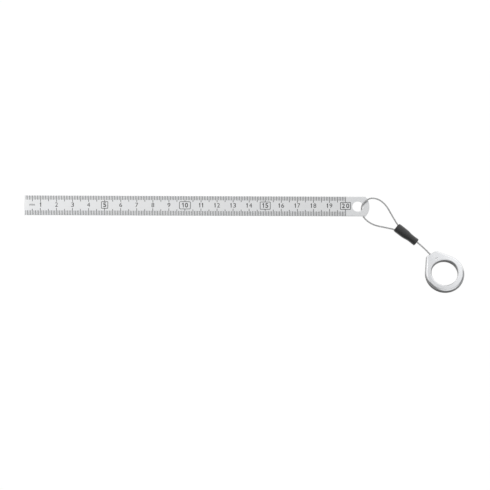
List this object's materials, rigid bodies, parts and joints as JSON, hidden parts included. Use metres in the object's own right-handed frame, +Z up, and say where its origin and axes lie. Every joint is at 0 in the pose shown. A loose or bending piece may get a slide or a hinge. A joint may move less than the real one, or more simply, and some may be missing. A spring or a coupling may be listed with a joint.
{
  "type": "flexible steel ruler",
  "caption": "Thin flexible steel rule with a millimetre scale, and a ring on a wire tether looped through the hole in its end.",
  "frame": {"origin": "on the surface the ruler lies on, under the middle of the zero edge of the blade", "axes": "+X along the blade from zero to the hang hole, +Y across the blade, +Z up"},
  "size_m": [0.2735, 0.0633, 0.0054],
  "materials": {
    "blade_steel": "satin spring steel, with a dark printed scale",
    "wire_rope": "bright stainless wire rope",
    "ferrule_aluminium": "plain pressed aluminium",
    "sleeve_black": "black shrink tube, soft sheen",
    "ring_chrome": "polished plating"
  },
  "bodies": {
    "blade": {"ruler_blade": "blade_steel"},
    "tether": {"tether_wire": "wire_rope", "crimp_ferrule": "ferrule_aluminium", "shrink_sleeve": "sleeve_black", "tether_ring": "ring_chrome"}
  },
  "joints": [
    {"name": "tether_swing", "type": "hinge", "parent": "blade", "child": "tether", "pos_m": [0.2076, 0, 0.00143], "axis": [-0.0057, 0, 1], "range_deg": [-80, 160]}
  ]
}
